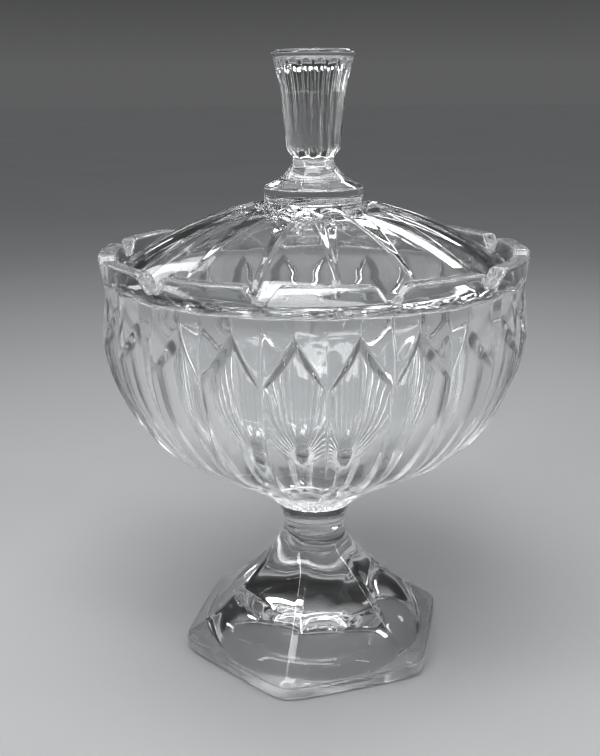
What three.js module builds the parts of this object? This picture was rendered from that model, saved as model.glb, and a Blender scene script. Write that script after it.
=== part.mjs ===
// A covered candy dish in clear pressed glass: foot, bowl, lid and knob.
// Millimetres, +Z up, origin at the middle of the face that the foot stands on.
// Angles are in degrees from -Y towards +X, so 0 is the middle of the front rim tab.
import * as THREE from 'three';
import { mergeVertices } from 'three/addons/utils/BufferGeometryUtils.js';

// Driving dimensions
const RIM_RADIUS = 85;
const RIM_HEIGHT = 172;
const FOOT_RADIUS = 58.5;       // to the foot's corners
const FOOT_HEIGHT = 50.5;
const KNOB_TOP = 246.5;
const JOINT_GAP = 0.3;          // between two pieces that are bonded or that rest on each other

// Rim: tabs with notches between them, and an inner ledge for the lid
const TAB_COUNT = 12;
const TAB_PITCH = 360 / TAB_COUNT;
const NOTCH_DEPTH = 6;
const NOTCH_FLOOR_HALF = 0.9;   // degrees
const NOTCH_MOUTH_HALF = 4;     // degrees
const RIM_INNER_RADIUS = 78.2;
const EDGE_ROUND = 1;
const LEDGE_HEIGHT = 160.6;
const LEDGE_INNER_RADIUS = 76;

// Flutes cut into the outside of the bowl, each with a pointed arch at its top
const FLUTE_COUNT = 24;
const FLUTE_HALF = 180 / FLUTE_COUNT;   // degrees
const FLUTE_DEPTH = 4.4;                // at the rim's radius
const ARCH_PEAK = 155.5;
const ARCH_FOOT = 138;
const BEVEL_DROP = 5;                   // from the arch down to where the flute's floor begins
const BEVEL_END = 0.6;                  // what is left of that drop on a ridge
const FACET_DEPTH = 1.8;                // hollow between two hanging triangles
const BAND_HEIGHT = 163.6;              // lower edge of the plain band under the rim
const BAND_DIP = 1.9;                   // where the band points down at a tab's middle
const BAND_DIP_HALF = 5.3;              // degrees
const STEM_TOP = 63;
const FLUTE_FADE = 5;                   // height over which the flutes run out on the stem

// Lid: a low dome with tapering V grooves
const LID_TURN = 3.5;                   // degrees
const LID_RADIUS = 77.5;
const GROOVE_COUNT = 16;
const GROOVE_PITCH = 360 / GROOVE_COUNT;
const GROOVE_START = 21.5;              // radii between which a groove runs
const GROOVE_WIDEST = 27;
const GROOVE_END = 73.5;
const GROOVE_HALF_WIDTH = 4.6;
const GROOVE_DEPTH_PER_WIDTH = 0.42;
const CROWN_HEIGHT = 190;

// Knob: a fluted finial on a round base
const KNOB_BASE_RADIUS = 19.6;
const KNOB_FLUTE_COUNT = 18;
const KNOB_FLUTE_PITCH = 360 / KNOB_FLUTE_COUNT;
const KNOB_FLUTE_DEPTH = 0.9;
const KNOB_LAND_HALF = 1.5;             // degrees, half of the flat between two flutes
const KNOB_FLUTES_FROM = 211;
const KNOB_FLUTES_TO = 243;
const KNOB_TURN = -3;                   // degrees

// Foot: six flaring faces with a narrow flat along each corner, over a round hollow
const FOOT_CORNERS = 6;
const FOOT_PITCH = 360 / FOOT_CORNERS;
const FOOT_TURN = -15;                  // degrees, so each corner is under a notch
const CORNER_FLAT = 0.9;                // cut off each sharp corner
const CORNER_CRISPNESS = 60;
const STEM_RADIUS = 13.1;

// Outlines, as radius and height from the bottom up
const BOWL_OUTSIDE = [
  [16.6, STEM_TOP], [24, 69.6], [34, 76.2], [45, 82.6], [61.5, 92.6], [72.5, 104], [80, 118],
  [84.3, 132], [85.2, 145], [83.6, 156], [83.8, 163], [RIM_RADIUS, RIM_HEIGHT],
];
const BOWL_STEM = [[12.9, 50.8], [13.1, 52.4], [14.2, 57.6], [16.4, 62.2]];
const BOWL_INSIDE = [
  [LEDGE_INNER_RADIUS, LEDGE_HEIGHT], [75.6, 146], [73.8, 132], [69.6, 118], [61.5, 105],
  [49.5, 94.2], [34, 86.4], [17, 82.6], [0, 81.8],
];
const LID_OUTSIDE = [
  [77.3, 164.3], [74, 167.2], [66, 172.7], [54, 179], [42, 184], [30, 187.7], [GROOVE_START, 189.4],
];
const LID_INSIDE = [
  [0, 184.8], [20, 184], [36, 180.6], [50, 175.2], [62, 168.8], [70, 163.4], [73.5, 161.4],
];
const KNOB_LOWER = [
  [KNOB_BASE_RADIUS - 0.3, CROWN_HEIGHT + JOINT_GAP], [KNOB_BASE_RADIUS, 190.8],
  [KNOB_BASE_RADIUS, 195.1], [18.6, 196.6], [13.6, 198.9], [10.4, 201.7], [8.5, 204.2], [7.9, 206.8],
];
const KNOB_FLARE = [[10.6, 210.4], [11.6, 221], [12.8, 232], [14.6, 240], [15.7, 244.2]];
const KNOB_CROWN = [[15.9, 245.3], [15, KNOB_TOP]];
const FOOT_HOLLOW = [[0, 13.5], [15, 12.9], [27, 10.6], [36, 7.2], [41, 4], [44.5, 0]];
const FOOT_OUTSIDE = [
  [FOOT_RADIUS - 1, 0], [FOOT_RADIUS, 1], [FOOT_RADIUS, 4.2], [56.8, 6.4], [48, 12], [38, 19.9],
  [28, 29.6], [20, 38.4], [15.2, 45],
];

const radians = THREE.MathUtils.degToRad;
const mix = THREE.MathUtils.lerp;
const clamp = THREE.MathUtils.clamp;

function curveThrough(points) {
  return new THREE.SplineCurve(points.map(([radius, height]) => new THREE.Vector2(radius, height)));
}

// Points at even steps along an outline, its two ends included
function stepsAlong(points, steps) {
  return curveThrough(points).getSpacedPoints(steps).map((point) => [point.x, point.y]);
}

// Radius of a rising outline at a given height, found by halving
function radiusAt(curve, height) {
  let low = 0;
  let high = 1;
  for (let turn = 0; turn < 24; turn += 1) {
    const middle = (low + high) / 2;
    if (curve.getPoint(middle).y < height) low = middle;
    else high = middle;
  }
  return curve.getPoint((low + high) / 2).x;
}

// A body turned about Z. place(row, angle) gives the radius, angle and height of one vertex;
// the first and last rows lie on the axis.
function turnedBody(rowCount, angles, place) {
  const outline = Array.from({ length: rowCount }, (_, row) => new THREE.Vector2(1, row));
  const geometry = new THREE.LatheGeometry(outline, angles.length);
  const position = geometry.attributes.position;
  for (let vertex = 0; vertex < position.count; vertex += 1) {
    const row = vertex % rowCount;
    const column = Math.floor(vertex / rowCount) % angles.length;
    const [radius, angle, height] = place(row, angles[column], column);
    const turn = radians(angle);
    position.setXYZ(vertex, radius * Math.sin(turn), -radius * Math.cos(turn), height);
  }
  geometry.deleteAttribute('normal');
  geometry.deleteAttribute('uv');
  const merged = mergeVertices(geometry, 1e-4);
  merged.computeVertexNormals();
  return merged;
}

// The same few angles, repeated round the whole turn
function repeatAngles(anglesInPitch, pitch) {
  const count = Math.round(360 / pitch);
  return Array.from({ length: count }, (_, copy) => anglesInPitch.map((a) => a + copy * pitch)).flat();
}

// Distance in degrees from the nearest multiple of a pitch
function fromNearest(angle, pitch) {
  return Math.abs(angle - pitch * Math.round(angle / pitch));
}

function glass(color, roughness) {
  const material = new THREE.MeshStandardMaterial({ color, roughness, metalness: 0 });
  material.transparent = true;
  material.opacity = 0.6;
  return material;
}

function addPiece(group, name, geometry, material) {
  const mesh = new THREE.Mesh(geometry, material);
  mesh.name = name;
  group.add(mesh);
}

// Height of the top of the rim: level along a tab, dropping into the notch beside it
function rimTop(angle) {
  const fromNotch = fromNearest(angle - TAB_PITCH / 2, TAB_PITCH);
  const rise = (fromNotch - NOTCH_FLOOR_HALF) / (NOTCH_MOUTH_HALF - NOTCH_FLOOR_HALF);
  return RIM_HEIGHT - NOTCH_DEPTH * (1 - clamp(rise, 0, 1));
}

function makeBowl() {
  const outside = curveThrough(BOWL_OUTSIDE);
  const inside = stepsAlong(BOWL_INSIDE, 7);
  const fluteSteps = 10;

  // One cut of the flute at a given angle, from the stem up to its arch
  function flutePlace(step, angle) {
    const across = fromNearest(angle, 2 * FLUTE_HALF) / FLUTE_HALF;   // 0 on a ridge, 1 mid-flute
    const hollow = 1 - (1 - across) ** 2;
    const arch = mix(ARCH_FOOT, ARCH_PEAK, across);
    const floorTop = arch - BEVEL_DROP * hollow - BEVEL_END;
    if (step > fluteSteps) {
      const facet = FACET_DEPTH * across;
      return [radiusAt(outside, arch) - facet, arch];
    }
    const height = mix(STEM_TOP, floorTop, (step / fluteSteps) ** 1.35);
    const radius = radiusAt(outside, height);
    const fade = clamp((height - STEM_TOP) / FLUTE_FADE, 0, 1);
    return [radius - fade * hollow * FLUTE_DEPTH * radius / RIM_RADIUS, height];
  }

  function rimPlace(step, angle) {
    const top = rimTop(angle);
    const dip = BAND_DIP * clamp(1 - fromNearest(angle, TAB_PITCH) / BAND_DIP_HALF, 0, 1);
    return [
      [radiusAt(outside, BAND_HEIGHT - dip), BAND_HEIGHT - dip],
      [radiusAt(outside, top - EDGE_ROUND), top - EDGE_ROUND],
      [radiusAt(outside, top) - EDGE_ROUND, top],
      [RIM_INNER_RADIUS + EDGE_ROUND, top],
      [RIM_INNER_RADIUS, top - EDGE_ROUND],
      [RIM_INNER_RADIUS, LEDGE_HEIGHT],
    ][step];
  }

  const sections = [
    { rows: 1, at: () => [0, BOWL_STEM[0][1]] },
    { rows: BOWL_STEM.length, at: (step) => BOWL_STEM[step] },
    { rows: fluteSteps + 2, at: flutePlace },
    { rows: 6, at: rimPlace },
    { rows: inside.length, at: (step) => inside[step] },
  ];
  const rowCount = sections.reduce((total, section) => total + section.rows, 0);
  const halfPitch = [NOTCH_FLOOR_HALF, NOTCH_MOUTH_HALF, FLUTE_HALF, 11];
  const fromNotch = [0, ...halfPitch, TAB_PITCH / 2, ...halfPitch.map((a) => TAB_PITCH - a).reverse()];
  const angles = repeatAngles(fromNotch.map((a) => a - TAB_PITCH / 2), TAB_PITCH);

  return turnedBody(rowCount, angles, (row, angle) => {
    let step = row;
    let section = 0;
    while (step >= sections[section].rows) {
      step -= sections[section].rows;
      section += 1;
    }
    const [radius, height] = sections[section].at(step, angle);
    return [radius, angle, height];
  });
}

// Half of a groove's width at a given radius from the middle of the lid
function grooveHalfWidth(radius) {
  const opening = (radius - GROOVE_START) / (GROOVE_WIDEST - GROOVE_START);
  const closing = (GROOVE_END - radius) / (GROOVE_END - GROOVE_WIDEST);
  return GROOVE_HALF_WIDTH * clamp(Math.min(opening, closing), 0, 1);
}

function makeLid() {
  const inside = stepsAlong(LID_INSIDE, 7);
  const outside = stepsAlong(LID_OUTSIDE, 10);
  const flange = [[LID_RADIUS, LEDGE_HEIGHT + JOINT_GAP], [LID_RADIUS, 163.6]];
  const rows = [...inside, [73.8, LEDGE_HEIGHT + JOINT_GAP], ...flange, ...outside,
    [KNOB_BASE_RADIUS, CROWN_HEIGHT], [0, CROWN_HEIGHT]];
  const firstGrooved = inside.length + flange.length + 1;
  const columnsInPitch = 4;      // middle of the groove, its edge, the land, the next edge
  const landHalf = 1.2;          // degrees kept between a groove's edge and the next column

  return turnedBody(rows.length, repeatAngles([0, 1, 2, 3], GROOVE_PITCH), (row, angle, column) => {
    const [radius, height] = rows[row];
    const grooved = row >= firstGrooved && row < firstGrooved + outside.length;
    const halfWidth = grooved ? grooveHalfWidth(radius) : 0;
    const edge = clamp(THREE.MathUtils.radToDeg(halfWidth / Math.max(radius, 1)), landHalf,
      GROOVE_PITCH / 2 - landHalf);
    const place = column % columnsInPitch;
    const middle = LID_TURN + GROOVE_PITCH * Math.floor(column / columnsInPitch);
    const offset = [0, edge, GROOVE_PITCH / 2, GROOVE_PITCH - edge][place];
    const depth = place === 0 ? halfWidth * GROOVE_DEPTH_PER_WIDTH : 0;
    return [radius, middle + offset, height - depth];
  });
}

function makeKnob() {
  const flare = curveThrough(KNOB_FLARE);
  const flareSteps = 8;
  const flareRows = flare.getSpacedPoints(flareSteps).map((point) => [point.x, point.y]);
  const rows = [[0, KNOB_LOWER[0][1]], ...KNOB_LOWER, ...flareRows, ...KNOB_CROWN, [0, KNOB_TOP]];
  const anglesInPitch = [KNOB_LAND_HALF, 7, 13, KNOB_FLUTE_PITCH - KNOB_LAND_HALF];
  const angles = repeatAngles(anglesInPitch, KNOB_FLUTE_PITCH);

  return turnedBody(rows.length, angles, (row, angle) => {
    const [radius, height] = rows[row];
    const fluted = height > KNOB_FLUTES_FROM && height < KNOB_FLUTES_TO;
    const inFlute = fromNearest(angle, KNOB_FLUTE_PITCH) - KNOB_LAND_HALF;
    const across = clamp(inFlute / (KNOB_FLUTE_PITCH / 2 - KNOB_LAND_HALF), 0, 1);
    const depth = fluted ? KNOB_FLUTE_DEPTH * Math.sqrt(1 - (1 - across) ** 2) : 0;
    return [radius - depth, KNOB_TURN + angle, height];
  });
}

// Radius of a hexagon with cut-off corners, as a share of the radius to its sharp corners
function hexagonShare(angle, cornerRadius) {
  const cosines = (first) => Array.from({ length: FOOT_CORNERS }, (_, side) => (
    Math.max(0, Math.cos(radians(angle - first - side * FOOT_PITCH)))));
  const flatShare = 1 - CORNER_FLAT / cornerRadius;
  const sides = cosines(FOOT_PITCH / 2).map((c) => (c / Math.cos(Math.PI / FOOT_CORNERS)));
  const corners = cosines(0).map((c) => c / flatShare);
  const total = [...sides, ...corners].reduce((sum, c) => sum + c ** CORNER_CRISPNESS, 0);
  return total ** (-1 / CORNER_CRISPNESS);
}

function makeFoot() {
  const hollow = stepsAlong(FOOT_HOLLOW, 6);
  const outside = [...FOOT_OUTSIDE.slice(0, 3), ...stepsAlong(FOOT_OUTSIDE.slice(3), 9)];
  const rows = [...hollow, ...outside, [STEM_RADIUS, FOOT_HEIGHT], [0, FOOT_HEIGHT]];
  const roundFrom = 30;          // above this height the hexagon turns into the round stem
  const roundAt = 46;
  const anglesInPitch = [-2, 2, 6, 15, 30, 45, 54];

  return turnedBody(rows.length, repeatAngles(anglesInPitch, FOOT_PITCH), (row, angle) => {
    const [radius, height] = rows[row];
    const inHollow = row < hollow.length;
    const roundness = inHollow ? 1 : clamp((height - roundFrom) / (roundAt - roundFrom), 0, 1);
    const share = mix(hexagonShare(angle, Math.max(radius, STEM_RADIUS)), 1, roundness);
    return [radius * share, FOOT_TURN + angle, height];
  });
}

const dish = new THREE.Group();
addPiece(dish, 'foot', makeFoot(), glass(0xc9cdd2, 0.04));
addPiece(dish, 'bowl', makeBowl(), glass(0xd2d5da, 0.04));
addPiece(dish, 'lid', makeLid(), glass(0xdcdfe3, 0.03));
addPiece(dish, 'knob', makeKnob(), glass(0xd6dadf, 0.03));

export default dish;
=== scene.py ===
"""The looks of a covered, footed candy dish in clear pressed glass.

Shapes are worked out in millimetres, with heights measured from the surface that the foot stands on.
Angles are in degrees from -Y towards +X, so 0 is the middle of the rim tab at the front.
"""
import math

import bpy
import numpy as np
from mathutils import Matrix, Vector


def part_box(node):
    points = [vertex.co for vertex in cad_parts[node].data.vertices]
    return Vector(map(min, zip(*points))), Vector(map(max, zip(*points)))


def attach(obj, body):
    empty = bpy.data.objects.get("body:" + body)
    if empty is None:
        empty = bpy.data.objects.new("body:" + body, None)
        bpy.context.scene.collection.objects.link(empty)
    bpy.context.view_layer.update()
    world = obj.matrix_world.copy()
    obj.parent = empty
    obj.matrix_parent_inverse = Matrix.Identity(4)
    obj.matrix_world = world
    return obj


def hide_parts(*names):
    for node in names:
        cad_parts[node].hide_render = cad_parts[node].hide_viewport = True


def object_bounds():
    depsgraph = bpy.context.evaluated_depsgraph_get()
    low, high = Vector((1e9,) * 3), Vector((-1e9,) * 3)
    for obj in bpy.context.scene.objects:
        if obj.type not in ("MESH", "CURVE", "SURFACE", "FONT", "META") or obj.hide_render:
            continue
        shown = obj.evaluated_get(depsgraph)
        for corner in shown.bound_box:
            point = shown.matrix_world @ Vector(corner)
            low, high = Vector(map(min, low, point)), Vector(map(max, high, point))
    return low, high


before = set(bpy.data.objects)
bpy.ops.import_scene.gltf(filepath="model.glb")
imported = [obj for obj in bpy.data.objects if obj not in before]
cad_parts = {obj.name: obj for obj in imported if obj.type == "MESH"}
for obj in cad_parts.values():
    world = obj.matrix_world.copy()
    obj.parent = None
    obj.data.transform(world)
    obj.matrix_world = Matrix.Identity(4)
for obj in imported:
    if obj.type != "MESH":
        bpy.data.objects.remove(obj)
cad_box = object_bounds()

MM = 0.001


def low(node):
    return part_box(node)[0].z / MM


def top(node):
    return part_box(node)[1].z / MM


TURN = 360                  # degrees
JOINT_GAP = 0.3             # between two pieces that touch

# Rim: tabs with notches between them, and an inner ledge for the lid
RIM_RADIUS = 85
RIM_HEIGHT = top("bowl")
TAB_PITCH = 30              # degrees
NOTCH_DEPTH = 6
NOTCH_FLOOR_HALF = 0.9      # degrees
NOTCH_MOUTH_HALF = 4        # degrees
NOTCH_SOFT = 0.15           # degrees, rounding of the notch's floor
NOTCH_CORNER_SOFT = 0.14    # rounding where a notch meets its tab, as a share of its slope
RIM_INNER_RADIUS = 78.2
EDGE_ROUND = 1
LEDGE_HEIGHT = low("lid") - JOINT_GAP
LEDGE_INNER_RADIUS = 76
LEDGE_FILLET = 0.6

# Flutes on the outside of the bowl, each under a pointed arch
FLUTE_PITCH = 15            # degrees
FLUTE_HALF = FLUTE_PITCH / 2
FLUTE_DEPTH = 4.4           # at the rim's radius
RIDGE_SOFT = 0.2            # degrees, rounding of the ridge between two flutes
ARCH_PEAK = 155.5
ARCH_FOOT = 138
BEVEL_DROP = 5              # from the arch down to where the flute's floor begins
BEVEL_END = 0.6             # what is left of that drop on a ridge
BEVEL_SOFT = 0.16           # rounding of the bevel's two creases, as a share of the bevel
CREASE_SHARE = 0.22         # share of the bevel over which rows close up at each crease
FACET_DEPTH = 1.8           # hollow between two hanging triangles
BAND_HEIGHT = 163.6         # lower edge of the plain band under the rim
BAND_DIP = 1.9              # where the band points down at a tab's middle
BAND_DIP_HALF = 5.3         # degrees
BAND_DIP_SOFT = 0.4         # degrees, rounding of that point
BAND_STEP = 0.35            # how far the band stands out
BAND_EDGE = 0.5             # height over which it does
BAND_EDGE_SOFT = 0.3
STEM_TOP = 63
FLUTE_FADE = 4              # height over which the flutes run out on the stem
BOWL_BOND_RADII = (12, 12.8)

# Lid: a low dome with tapering V grooves
LID_RADIUS = 77.5
LID_TURN = 3.5              # degrees
GROOVE_PITCH = 22.5         # degrees
GROOVE_START = 21.5         # radii between which a groove runs
GROOVE_WIDEST = 27
GROOVE_END = 73.5
GROOVE_HALF_WIDTH = 4.6
GROOVE_SLOPE = 0.45         # depth for each unit of half width
GROOVE_BOTTOM_SOFT = 0.06   # rounding of the bottom and edges, as shares of half the width
GROOVE_EDGE_SOFT = 0.05
GROOVE_LEAST_HALF = 0.7     # degrees
LAND_LEAST_HALF = 0.5       # degrees
FLANGE_INNER = (74, 0.5)    # radius at the rounded inner edge, and its rounding
FLANGE_ROUND = 0.6
SHOULDER_HEIGHT = 163.6     # of the rounding between the flange's rim and the dome
SHOULDER_ROUND = 0.8
CROWN_HEIGHT = top("lid")
CROWN_STEPS = [(20.6, 189.75), (19.9, 189.95)]

# Knob: a fluted finial on a round base
KNOB_BASE_RADIUS = 19.6
KNOB_TOP = top("knob")
KNOB_TURN = -3              # degrees
KNOB_FLUTE_PITCH = 20       # degrees
KNOB_FLUTE_DEPTH = 0.95
KNOB_LAND_HALF = 1.6        # degrees
KNOB_FLUTES_TO = 242.6
KNOB_FACET_PITCH = 40       # degrees
KNOB_FACET_OUT = 1.015      # a facet's corner, as a share of the chamfer's radius
KNOB_FACET_SOFT = 0.12
KNOB_BASE_ROUND = 0.5
KNOB_BASE_EDGE = (195.1, 0.7)   # height at the base's upper edge, and its rounding
KNOB_CROWN_ROUND = 1.5
KNOB_CROWN_RADIUS = 16

# Foot: six flaring faces with a narrow flat along each corner, over a round hollow
FOOT_RADIUS = 58.5
FOOT_PITCH = 60             # degrees
FOOT_TURN = -15             # degrees, so each corner is under a notch
CORNER_FLAT_HALF = 1.5      # the flat along each corner, and its rounding
CORNER_SOFT = 0.3
BASE_FLAT_HALF = 3.2        # the same at the base
BASE_SOFT = 2.2
BASE_SPREAD = 9             # rows over which the base's corners sharpen
BASE_EDGE = 1.6             # rounding of the base's two edges
BASE_SHOULDER = 4
RING_INNER_RADIUS = 45      # of the ring that the foot stands on
RING_ROUND = 0.8
STEM_RADIUS = 13.1
ROUND_FROM = 30             # heights between which the hexagon turns round
ROUND_AT = 46

# Outlines, as radius and height
BOWL_OUTSIDE = [
    (16.6, STEM_TOP), (24, 69.6), (34, 76.2), (45, 82.6), (61.5, 92.6), (72.5, 104), (80, 118),
    (84.3, 132), (85.2, 145), (83.6, 156), (83.8, 163), (RIM_RADIUS, RIM_HEIGHT),
]
BOWL_STEM = [(13, low("bowl")), (13.1, 52.4), (14.2, 57.6), (16.4, 62.4)]
BOWL_INSIDE = [
    (LEDGE_INNER_RADIUS, LEDGE_HEIGHT - LEDGE_FILLET), (75.6, 146), (73.8, 132), (69.6, 118),
    (61.5, 105), (49.5, 94.2), (34, 86.4), (17, 82.6), (0, 81.8),
]
LID_OUTSIDE = [
    (77.1, 164.6), (74, 167.2), (66, 172.7), (54, 179), (42, 184), (30, 187.7), (21.5, 189.4),
]
LID_INSIDE = [
    (0, 184.8), (20, 184), (36, 180.6), (50, 175.2), (62, 168.8), (70, 163.4), (72.6, 161.6),
]
KNOB_BASE = [
    (KNOB_BASE_RADIUS, 190.9), (KNOB_BASE_RADIUS, 193), (KNOB_BASE_RADIUS, 194.9),
]
KNOB_COVE = [
    (18.9, 196.2), (16, 197.7), (13.6, 198.9), (10.4, 201.7), (8.5, 204.2), (7.9, 206.8),
]
KNOB_FLARE = [
    (10.5, 210.4), (11.6, 221), (12.8, 232), (14.6, 240), (15.7, 244.4),
]
FOOT_HOLLOW = [(0, 13.5), (15, 12.9), (27, 10.6), (36, 7.2), (41, 4), (43.9, 1)]
FOOT_OUTSIDE = [
    (57.9, 5.2), (56, 6.9), (48, 12), (38, 19.9), (28, 29.6), (20, 38.4), (15.2, 45), (13.2, 49.4),
]

# Camera: seen from a little above and just left of the front tab
CAMERA_AZIMUTH = -3.16
CAMERA_DISTANCE = 382.8
CAMERA_HEIGHT = 233
CAMERA_DOWN = 16.9
CAMERA_PAN = 0.87
CAMERA_ROLL = -0.4
CAMERA_LENS = 45.64
SENSOR_WIDTH = 36

# Glass and studio
GLASS_IOR = 1.52
FLOOR_HALF_SIZE = 12        # metres
FLOOR_LEVEL = -0.2          # just below the foot, so that the two faces don't meet
WORLD_STOPS = [             # share of the way from the horizon to straight up, and brightness
    (0.0, 0.11), (0.02, 0.11), (0.12, 0.05), (0.3, 0.02), (0.55, 0.03), (0.75, 0.3), (1.0, 0.55),
]
WORLD_TINT = (1, 1.01, 1.03)
SOFTBOXES = [               # name, azimuth, elevation, distance, size and power
    ("window_left", -58, 42, 0.72, (0.09, 0.44), 1.5),
    ("window_right", 68, 30, 0.80, (0.05, 0.5), 1.0),
    ("back_left", -140, 34, 0.80, (0.08, 0.4), 0.35),
    ("back_right", 150, 38, 0.80, (0.4, 0.07), 1.0),
    ("overhead", -20, 76, 0.60, (0.36, 0.36), 3.2),
    ("front_strip", 14, 52, 0.75, (0.34, 0.02), 0.7),
]


# ---------------------------------------------------------------- outlines and shared shapes

def smooth_line(points, per_span=24):
    """A Catmull-Rom curve through the points, as an array of radius and height."""
    p = np.array(points, float)
    p = np.vstack([p[:1], p, p[-1:]])
    t = np.linspace(0, 1, per_span, endpoint=False)[:, None]
    spans = []
    for a, b, c, d in zip(p[:-3], p[1:-2], p[2:-1], p[3:]):
        bend = (2 * a - 5 * b + 4 * c - d) * t ** 2 + (3 * b - a - 3 * c + d) * t ** 3
        spans.append(0.5 * (2 * b + (c - a) * t + bend))
    return np.vstack(spans + [p[-1:]])


def even_points(line, count):
    """Points at even steps along a line, its two ends included."""
    along = np.concatenate([[0], np.cumsum(np.hypot(*np.diff(line, axis=0).T))])
    at = np.linspace(0, along[-1], count)
    return np.column_stack([np.interp(at, along, line[:, axis]) for axis in (0, 1)])


def arc(centre, radius, start, end, steps):
    """Points on a quarter-round edge; start and end in degrees, 0 outwards and 90 up."""
    turn = np.radians(np.linspace(start, end, steps + 1))
    return [(centre[0] + radius * math.cos(a), centre[1] + radius * math.sin(a)) for a in turn]


def from_nearest(angle, pitch, soft=0.0):
    """Distance from the nearest multiple of a pitch, with its sharp point at 0 rounded off."""
    distance = angle - pitch * np.round(angle / pitch)
    return np.sqrt(distance ** 2 + soft ** 2) - soft


def ramp(x, soft):
    """Rises from 0 to 1 as x does, and is level beyond, with rounded corners."""
    def kink(value):
        return (value + np.sqrt(value ** 2 + soft ** 2)) / 2
    return kink(x) - kink(x - 1)


def mirrored(half, pitch):
    """Column angles over one pitch from those over its first half."""
    return sorted(set(list(half) + [round(pitch - a, 6) for a in half if a > 0]))


def repeated(angles, pitch):
    """The same few angles, repeated round the whole turn."""
    return np.array([a + copy * pitch for copy in range(round(TURN / pitch)) for a in angles])


def columns_about(columns, pitch, turn):
    """Columns on both sides of every groove or corner, and the angle of its middle for each.

    A column is a share: 0 in the middle, 1 at the edge and 2 half way to the next middle.
    """
    share = np.array([-c for c in columns[:0:-1]] + columns[:-1])
    count = round(TURN / pitch)
    middle = turn + pitch * np.repeat(np.arange(count), len(share))
    return np.tile(share, count), middle


def offsets(share, edge, pitch):
    """Angles of the columns from their middles, with the edge at a given angle."""
    across = np.abs(share)
    beyond = edge + (across - 1) * (pitch / 2 - edge)
    return np.sign(share) * np.where(across < 1, across * edge, beyond)


def turned_piece(name, rows, bonded_rows, ground_rows=()):
    """A closed mesh from rows of (radius, angle, height); the first and last rows lie on the axis.

    Faces that start at a bonded row get the second material, for a joint fused without a gap, and
    those that start at a ground row the third, for the face that the dish stands on.
    """
    grid = np.array([np.broadcast_arrays(*row) for row in rows], float)
    radius, angle, height = grid[:, 0], np.radians(grid[:, 1]), grid[:, 2]
    points = np.stack([radius * np.sin(angle), -radius * np.cos(angle), height], axis=2) * MM
    row_count, columns = radius.shape
    inner = points[1:-1].reshape(-1, 3)
    vertices = np.vstack([points[0, :1], inner, points[-1, :1]])
    column = np.arange(columns)
    after = np.roll(column, -1)
    faces, materials = [], []
    for row in range(row_count - 1):
        below = 1 + (row - 1) * columns
        above = below + columns
        if row == 0:
            new = [(0, 1 + b, 1 + a) for a, b in zip(column, after)]
        elif row == row_count - 2:
            last = len(vertices) - 1
            new = [(below + a, below + b, last) for a, b in zip(column, after)]
        else:
            new = [(below + a, below + b, above + b, above + a) for a, b in zip(column, after)]
        faces += new
        materials += [1 if row in bonded_rows else 2 if row in ground_rows else 0] * len(new)
    mesh = bpy.data.meshes.new(name)
    mesh.from_pydata(vertices.tolist(), [], [tuple(map(int, face)) for face in faces])
    mesh.polygons.foreach_set("material_index", materials)
    mesh.polygons.foreach_set("use_smooth", [True] * len(faces))
    mesh.update()
    piece = bpy.data.objects.new(name, mesh)
    bpy.context.scene.collection.objects.link(piece)
    return piece


def last_rows(rows):
    """The rows whose faces make up a flat end on the axis."""
    return tuple(len(rows) - back for back in (2, 3, 4))


# ---------------------------------------------------------------- the four pieces

def rim_top(angle):
    """Height of the rim: level along a tab and sloping down into the notch beside it."""
    from_notch = from_nearest(angle - TAB_PITCH / 2, TAB_PITCH, NOTCH_SOFT)
    rise = (from_notch - NOTCH_FLOOR_HALF) / (NOTCH_MOUTH_HALF - NOTCH_FLOOR_HALF)
    return RIM_HEIGHT - NOTCH_DEPTH * (1 - ramp(rise, NOTCH_CORNER_SOFT))


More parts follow.
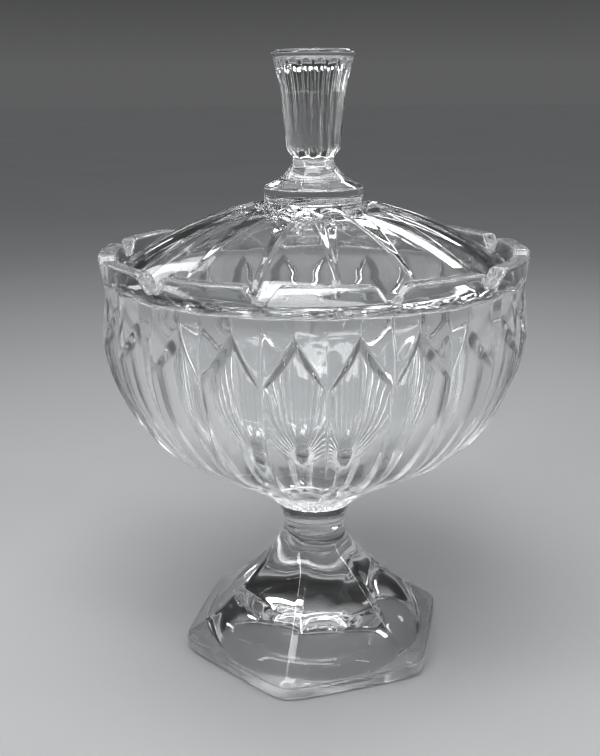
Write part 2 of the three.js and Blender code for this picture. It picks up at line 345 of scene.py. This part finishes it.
def make_bowl():
    # Columns from a notch to the middle of a tab, closest where the pattern has a crease
    half = [0, 0.35, 0.7, 1.0, 1.4, 2.0, 2.7, 3.3, 3.7, 4.1, 4.6, 5.4, 6.4, 7.1, 7.5, 7.9,
            8.6, 9.8, 11, 12.2, 13.2, 13.9, 14.4, 14.75, 15]
    angle = repeated(mirrored(half, TAB_PITCH), TAB_PITCH) - TAB_PITCH / 2
    outline = smooth_line(BOWL_OUTSIDE)
    across = from_nearest(angle, FLUTE_PITCH, RIDGE_SOFT) / FLUTE_HALF      # 1 mid-flute
    facet = FACET_DEPTH * across
    hollow = 1 - (1 - across) ** 2
    arch = ARCH_FOOT + (ARCH_PEAK - ARCH_FOOT) * across
    floor_top = arch - BEVEL_DROP * hollow - BEVEL_END
    crease = CREASE_SHARE * (arch - floor_top)
    from_middle = from_nearest(angle, TAB_PITCH, BAND_DIP_SOFT)
    dip = BAND_DIP * ramp(1 - from_middle / BAND_DIP_HALF, 0.1)
    band = BAND_HEIGHT - dip
    rim = rim_top(angle)

    def cut(height):
        """Depth of the pattern below the bowl's outline."""
        radius = np.interp(height, outline[:, 1], outline[:, 0])
        fade = ramp((height - STEM_TOP) / FLUTE_FADE, 0.1)
        flute = FLUTE_DEPTH * hollow * fade * radius / RIM_RADIUS
        rise = ramp((height - floor_top) / (arch - floor_top), BEVEL_SOFT)
        in_band = ramp(height - band + BAND_EDGE, BAND_EDGE_SOFT)
        return flute * (1 - rise) + (facet * rise + BAND_STEP * rise * across) * (1 - in_band)

    def outside(height):
        height = height + 0 * angle
        radius = np.interp(height, outline[:, 1], outline[:, 0])
        return (radius - cut(height), angle, height)

    def level(points):
        return [(r, angle, h + 0 * angle) for r, h in points]

    close_rows = (-1, -0.5, 0, 0.5, 1)
    stem = even_points(smooth_line(BOWL_STEM), 10)
    bonded = low("bowl")
    rows = level([(radius, bonded) for radius in (0, *BOWL_BOND_RADII)]) + level(stem)
    below = floor_top - crease
    rows += [outside(STEM_TOP + (below - STEM_TOP) * t ** 1.25) for t in np.linspace(0, 1, 32)[:-1]]
    rows += [outside(floor_top + crease * k) for k in close_rows]
    rows += [outside(floor_top + (arch - floor_top) * t) for t in (0.4, 0.6)]
    rows += [outside(arch + crease * k) for k in close_rows]
    from_arch = arch + crease
    rows += [outside(from_arch + (band - 1 - from_arch) * t) for t in np.linspace(0, 1, 11)[1:-1]]
    rows += [outside(band + k) for k in (-1, -0.7, -0.4, -0.1, 0.2, 0.5, 0.9)]
    to_edge = rim - EDGE_ROUND
    above = band + 0.9
    rows += [outside(above + (to_edge - above) * t) for t in (0.2, 0.4, 0.6, 0.8)]
    outer = np.interp(to_edge, outline[:, 1], outline[:, 0]) - EDGE_ROUND
    rows += [(outer + r, angle, to_edge + h) for r, h in arc((0, 0), EDGE_ROUND, 0, 90, 5)]
    inner = RIM_INNER_RADIUS + EDGE_ROUND
    rows += [(outer + (inner - outer) * t, angle, rim) for t in (0.1, 0.5, 0.9)]
    rows += [(inner + r, angle, to_edge + h) for r, h in arc((0, 0), EDGE_ROUND, 90, 180, 5)]
    foot_of_wall = LEDGE_HEIGHT + LEDGE_FILLET
    rows += [(RIM_INNER_RADIUS, angle, to_edge + (foot_of_wall - to_edge) * t)
             for t in (0.15, 0.5, 0.85)]
    fillet_centre = (RIM_INNER_RADIUS - LEDGE_FILLET, foot_of_wall)
    rows += level(arc(fillet_centre, LEDGE_FILLET, 0, -90, 4))
    lip_centre = (LEDGE_INNER_RADIUS + LEDGE_FILLET, LEDGE_HEIGHT - LEDGE_FILLET)
    rows += level(arc(lip_centre, LEDGE_FILLET, 90, 180, 4)[:-1])
    rows += level(even_points(smooth_line(BOWL_INSIDE), 44))
    return turned_piece("bowl_glass", rows, (0, 1, 2))


def make_lid():
    columns = [0, 0.06, 0.16, 0.36, 0.58, 0.8, 0.92, 1, 1.08, 1.2, 1.45, 1.75, 2]
    share, middle = columns_about(columns, GROOVE_PITCH, LID_TURN)

    def half_width(radius):
        """Half of a groove's width at a distance from the middle of the lid."""
        before = max(0, (GROOVE_WIDEST - radius) / (GROOVE_WIDEST - GROOVE_START))
        opening = math.sqrt(max(0, 1 - before ** 2))
        closing = (GROOVE_END - radius) / (GROOVE_END - GROOVE_WIDEST)
        return GROOVE_HALF_WIDTH * max(0, min(opening, closing))

    def at(radius, height, grooved=False):
        half = half_width(radius) if grooved else 0
        edge = max(math.degrees(half / max(radius, 1)), GROOVE_LEAST_HALF)
        edge = min(edge, GROOVE_PITCH / 2 - LAND_LEAST_HALF)
        rounded = np.sqrt(share ** 2 + GROOVE_BOTTOM_SOFT ** 2)
        depth = half * GROOVE_SLOPE * ramp(1 - rounded, GROOVE_EDGE_SOFT)
        return (radius, middle + offsets(share, edge, GROOVE_PITCH), height - depth)

    flange = low("lid")
    inner_radius, inner_round = FLANGE_INNER
    inner_centre = (inner_radius, flange + inner_round)
    outer_centre = (LID_RADIUS - FLANGE_ROUND, flange + FLANGE_ROUND)
    shoulder_centre = (LID_RADIUS - SHOULDER_ROUND, SHOULDER_HEIGHT)
    plain = list(even_points(smooth_line(LID_INSIDE), 40))
    plain += arc(inner_centre, inner_round, 220, 270, 3)
    plain += arc(outer_centre, FLANGE_ROUND, -90, 0, 4)
    plain += [(LID_RADIUS, 162.2), (LID_RADIUS, 163)]
    plain += arc(shoulder_centre, SHOULDER_ROUND, 0, 50, 4)
    rows = [at(r, h) for r, h in plain]
    rows += [at(r, h, True) for r, h in even_points(smooth_line(LID_OUTSIDE), 64)]
    rows += [at(r, h) for r, h in CROWN_STEPS]
    rows += [at(r, CROWN_HEIGHT) for r in (KNOB_BASE_RADIUS, 19.2, 16, 0)]
    return turned_piece("lid_glass", rows, last_rows(rows))


def make_knob():
    # Columns from the middle of a land to the middle of the flute beside it
    half = [0, 0.9, 1.4, 1.8, 2.4, 3.4, 4.8, 6.4, 8.2, 10]
    angle = repeated(mirrored(half, KNOB_FLUTE_PITCH), KNOB_FLUTE_PITCH)
    in_flute = from_nearest(angle, KNOB_FLUTE_PITCH) - KNOB_LAND_HALF
    flute_half = KNOB_FLUTE_PITCH / 2 - KNOB_LAND_HALF
    across = 1 - np.clip(in_flute / flute_half, 0, 1)
    facet = from_nearest(angle - KNOB_FACET_PITCH / 2, KNOB_FACET_PITCH)
    facet_share = math.cos(math.radians(KNOB_FACET_PITCH / 2)) / np.cos(np.radians(facet))
    facet_share = facet_share / facet_share.max() * KNOB_FACET_OUT
    flare = smooth_line(KNOB_FLARE)
    flare_slope = (flare[6, 0] - flare[0, 0]) / (flare[6, 1] - flare[0, 1])
    (neck_radius, neck_top), (corner_radius, corner_height) = KNOB_COVE[-1], KNOB_FLARE[0]

    def plain(radius, height):
        return (radius, angle + KNOB_TURN, height + 0 * angle)

    def smaller(first, second, soft=KNOB_FACET_SOFT):
        """The smaller of two values, with a rounded change from one to the other."""
        return (first + second - np.sqrt((first - second) ** 2 + soft ** 2)) / 2

    def fluted(height):
        """The flare, whose flutes end round at the top and run out over a faceted chamfer below."""
        radius = np.interp(height, flare[:, 1], flare[:, 0])
        radius += flare_slope * min(0, height - corner_height)
        half_width = radius * math.radians(flute_half)
        past_end = max(0, (height - KNOB_FLUTES_TO + half_width) / half_width)
        hollow = np.sqrt(np.clip(1.0 - across ** 2 - past_end ** 2, 0, 1))
        rise = (height - neck_top) / (corner_height - neck_top)
        chamfer = (neck_radius + (corner_radius - neck_radius) * rise) * facet_share
        cut = smaller(radius - KNOB_FLUTE_DEPTH * hollow, chamfer)
        return plain(-smaller(-cut, -neck_radius), height)

    crown_foot = KNOB_TOP - 1.6
    bonded = low("knob")
    base_centre = (KNOB_BASE_RADIUS - KNOB_BASE_ROUND, bonded + KNOB_BASE_ROUND)
    upper_height, upper_round = KNOB_BASE_EDGE
    upper_centre = (KNOB_BASE_RADIUS - upper_round, upper_height)
    rows = [plain(0, bonded), plain(16, bonded), plain(19, bonded)]
    rows += [plain(r, h) for r, h in arc(base_centre, KNOB_BASE_ROUND, -90, 0, 3)]
    rows += [plain(r, h) for r, h in even_points(smooth_line(KNOB_BASE), 4)]
    rows += [plain(r, h) for r, h in arc(upper_centre, upper_round, 0, 60, 4)]
    rows += [plain(r, h) for r, h in even_points(smooth_line(KNOB_COVE), 20)[:-1]]
    heights = np.concatenate([
        np.linspace(neck_top - 0.3, 212, 26), np.linspace(212, 238.5, 24)[1:],
        np.linspace(238.5, crown_foot - 1.2, 14)[1:], [crown_foot - 0.6],
    ])
    rows += [fluted(h) for h in heights]
    crown_centre = (KNOB_CROWN_RADIUS - KNOB_CROWN_ROUND, KNOB_TOP - KNOB_CROWN_ROUND)
    rows += [plain(r, h) for r, h in arc(crown_centre, KNOB_CROWN_ROUND, 0, 90, 6)]
    rows += [plain(r, KNOB_TOP) for r in (13.8, 8, 0)]
    return turned_piece("knob_glass", rows, (0, 1, 2))


def make_foot():
    columns = [0, 0.5, 0.85, 1, 1.04, 1.09, 1.16, 1.26, 1.4, 1.56, 1.72, 1.88, 2]
    share, middle = columns_about(columns, FOOT_PITCH, FOOT_TURN)
    to_face = math.radians(FOOT_PITCH / 2)

    def six_sided(radius, height, soft=CORNER_SOFT, flat_half=CORNER_FLAT_HALF):
        """One level of the foot: a hexagon with cut corners that turns round towards the stem."""
        bend = math.asin(min(0.4, flat_half / radius))
        offset = offsets(share, math.degrees(bend), FOOT_PITCH)
        away = np.abs(np.radians(offset))
        flat = radius * math.cos(bend) / np.cos(away)
        face = radius * math.cos(to_face - bend) / np.cos(to_face - away)
        cornered = (flat + face - np.sqrt((flat - face) ** 2 + soft ** 2)) / 2
        roundness = min(1, max(0, (height - ROUND_FROM) / (ROUND_AT - ROUND_FROM)))
        roundness = roundness ** 2 * (3 - 2 * roundness)
        blended = cornered + (radius - cornered) * roundness
        return (blended, middle + offset, height + 0 * share)

    def plain(radius, height):
        _, angle, level = six_sided(max(radius, 20), height)
        return (radius, angle, level)

    bonded = top("foot")
    rows = [plain(r, h) for r, h in even_points(smooth_line(FOOT_HOLLOW), 44)]
    ring_centre = (RING_INNER_RADIUS, RING_ROUND)
    rows += [plain(r, h) for r, h in arc(ring_centre, RING_ROUND, 200, 270, 4)]
    ring = len(rows) - 1
    outer = FOOT_RADIUS - BASE_EDGE
    base = arc((outer, BASE_EDGE), BASE_EDGE, -90, 0, 7)
    base += arc((outer, BASE_SHOULDER), BASE_EDGE, 0, 50, 5)[1:]
    rows += [six_sided(r, h, BASE_SOFT, BASE_FLAT_HALF) for r, h in base]
    for step, (radius, height) in enumerate(even_points(smooth_line(FOOT_OUTSIDE), 60)):
        near_base = max(0, 1 - step / BASE_SPREAD) ** 1.5
        soft = CORNER_SOFT + (BASE_SOFT - CORNER_SOFT) * near_base
        flat_half = CORNER_FLAT_HALF + (BASE_FLAT_HALF - CORNER_FLAT_HALF) * near_base
        rows.append(six_sided(radius, height, soft, flat_half))
    rows.append(plain(STEM_RADIUS, bonded - JOINT_GAP))
    rows += [plain(radius, bonded) for radius in (13.05, 12.6, 6, 0)]
    return turned_piece("foot_glass", rows, last_rows(rows), (ring,))


# ---------------------------------------------------------------- materials

def new_material(name):
    material = bpy.data.materials.new(name)
    material.use_nodes = True
    nodes = material.node_tree.nodes
    return material, nodes, material.node_tree.links, nodes["Principled BSDF"]


def clear_material(name, colour, ior):
    """A material that light passes through."""
    material, nodes, links, shader = new_material(name)
    shader.inputs["Base Color"].default_value = (*colour, 1)
    shader.inputs["Transmission Weight"].default_value = 1
    shader.inputs["IOR"].default_value = ior
    return material, nodes, links, shader


def noise(nodes, links, scale, detail=2):
    """A noise texture in the piece's own space."""
    place = nodes.new("ShaderNodeTexCoord")
    texture = nodes.new("ShaderNodeTexNoise")
    texture.inputs["Scale"].default_value = scale
    texture.inputs["Detail"].default_value = detail
    links.new(place.outputs["Object"], texture.inputs["Vector"])
    return texture


def uneven_roughness(nodes, links, shader, texture, to_range, from_range=(0, 1)):
    spread = nodes.new("ShaderNodeMapRange")
    for names, values in ((("From Min", "From Max"), from_range), (("To Min", "To Max"), to_range)):
        for name, value in zip(names, values):
            spread.inputs[name].default_value = value
    links.new(texture.outputs["Fac"], spread.inputs["Value"])
    links.new(spread.outputs["Result"], shader.inputs["Roughness"])


def uneven_surface(nodes, links, shader, texture, strength, distance):
    bump = nodes.new("ShaderNodeBump")
    bump.inputs["Strength"].default_value = strength
    bump.inputs["Distance"].default_value = distance
    links.new(texture.outputs["Fac"], bump.inputs["Height"])
    links.new(bump.outputs["Normal"], shader.inputs["Normal"])


def pressed_glass():
    """Clear glass with a faintly wavy surface from the press mould."""
    material, nodes, links, shader = clear_material(
        "pressed_glass", (0.972, 0.984, 0.99), GLASS_IOR)
    polish = noise(nodes, links, 60, 4)
    uneven_roughness(nodes, links, shader, polish, (0, 0.05), (0.35, 0.75))
    uneven_surface(nodes, links, shader, noise(nodes, links, 90), 0.15, 0.2 * MM)
    return material


def ground_glass():
    """The ring that the dish stands on, which is left dull from the mould."""
    material, nodes, links, shader = clear_material(
        "ground_glass", (0.95, 0.96, 0.965), GLASS_IOR)
    stipple = noise(nodes, links, 1600)
    uneven_roughness(nodes, links, shader, stipple, (0.25, 0.5))
    uneven_surface(nodes, links, shader, stipple, 0.3, 0.3 * MM)
    return material


def fused_joint():
    """The face where two pieces are fused, through which light passes unbent."""
    material, _, _, shader = clear_material("fused_joint", (1, 1, 1), 1.0)
    shader.inputs["Roughness"].default_value = 0
    return material


def floor_surface():
    """A pale matt board with a faint mottle."""
    material, nodes, links, shader = new_material("pale_floor")
    mottle = noise(nodes, links, 3, 6)
    colours = nodes.new("ShaderNodeValToRGB")
    colours.color_ramp.elements[0].color = (0.40, 0.405, 0.41, 1)
    colours.color_ramp.elements[1].color = (0.46, 0.465, 0.47, 1)
    links.new(mottle.outputs["Fac"], colours.inputs["Fac"])
    links.new(colours.outputs["Color"], shader.inputs["Base Color"])
    shader.inputs["Roughness"].default_value = 0.9
    shader.inputs["Specular IOR Level"].default_value = 0.1
    return material


# ---------------------------------------------------------------- stage, light and camera

def make_floor():
    mesh = bpy.data.meshes.new("floor")
    half, level = FLOOR_HALF_SIZE, FLOOR_LEVEL * MM
    corners = [(-half, -half, level), (half, -half, level), (half, half, level), (-half, half, level)]
    mesh.from_pydata(corners, [], [(0, 1, 2, 3)])
    floor = bpy.data.objects.new("floor", mesh)
    bpy.context.scene.collection.objects.link(floor)
    floor.data.materials.append(floor_surface())


def make_world():
    """A studio that is grey at the horizon, darker above it and bright overhead."""
    world = bpy.data.worlds.new("studio")
    bpy.context.scene.world = world
    world.use_nodes = True
    nodes, links = world.node_tree.nodes, world.node_tree.links
    place = nodes.new("ShaderNodeTexCoord")
    split = nodes.new("ShaderNodeSeparateXYZ")
    shades = nodes.new("ShaderNodeValToRGB")
    stops = shades.color_ramp.elements
    stops.remove(stops[1])
    for index, (at, value) in enumerate(WORLD_STOPS):
        stop = stops.new(at) if index else stops[0]
        stop.position = at
        stop.color = (*(value * tint for tint in WORLD_TINT), 1)
    links.new(place.outputs["Generated"], split.inputs["Vector"])
    links.new(split.outputs["Z"], shades.inputs["Fac"])
    links.new(shades.outputs["Color"], nodes["Background"].inputs["Color"])


def softbox(name, azimuth, elevation, distance, size, power):
    """A rectangular light that faces the middle of the dish."""
    light = bpy.data.lights.new(name, "AREA")
    light.shape = "RECTANGLE"
    light.size, light.size_y = size
    light.energy = power
    lamp = bpy.data.objects.new(name, light)
    bpy.context.scene.collection.objects.link(lamp)
    a, e = math.radians(azimuth), math.radians(elevation)
    away = Vector((math.sin(a) * math.cos(e), -math.cos(a) * math.cos(e), math.sin(e)))
    middle = (cad_box[0] + cad_box[1]) / 2
    lamp.location = middle + away * distance
    lamp.rotation_euler = away.to_track_quat("Z", "Y").to_euler()


def make_camera():
    data = bpy.data.cameras.new("camera")
    data.lens = CAMERA_LENS
    data.sensor_width = SENSOR_WIDTH
    camera = bpy.data.objects.new("camera", data)
    bpy.context.scene.collection.objects.link(camera)
    a = math.radians(CAMERA_AZIMUTH)
    camera.location = (CAMERA_DISTANCE * math.sin(a) * MM, -CAMERA_DISTANCE * math.cos(a) * MM,
                       CAMERA_HEIGHT * MM)
    turn = (Matrix.Rotation(a + math.radians(CAMERA_PAN), 4, "Z")
            @ Matrix.Rotation(math.radians(90 - CAMERA_DOWN), 4, "X")
            @ Matrix.Rotation(math.radians(CAMERA_ROLL), 4, "Z"))
    camera.rotation_euler = turn.to_euler()
    bpy.context.scene.camera = camera


def set_light_paths():
    """Enough bounces for light to cross every wall of the glass."""
    cycles = bpy.context.scene.cycles
    cycles.max_bounces = 32
    cycles.transmission_bounces = 32
    cycles.glossy_bounces = 16
    cycles.transparent_max_bounces = 32
    bpy.context.scene.view_settings.view_transform = "Standard"


glass = pressed_glass()
joint = fused_joint()
base_ring = ground_glass()
for make, node, body in (
    (make_foot, "foot", "dish"), (make_bowl, "bowl", "dish"),
    (make_lid, "lid", "lid"), (make_knob, "knob", "lid"),
):
    piece = make()
    piece.data.materials.append(glass)
    piece.data.materials.append(joint)
    if node == "foot":
        piece.data.materials.append(base_ring)
    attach(piece, body)
    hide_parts(node)

make_floor()
make_world()
for box in SOFTBOXES:
    softbox(*box)
make_camera()
set_light_paths()
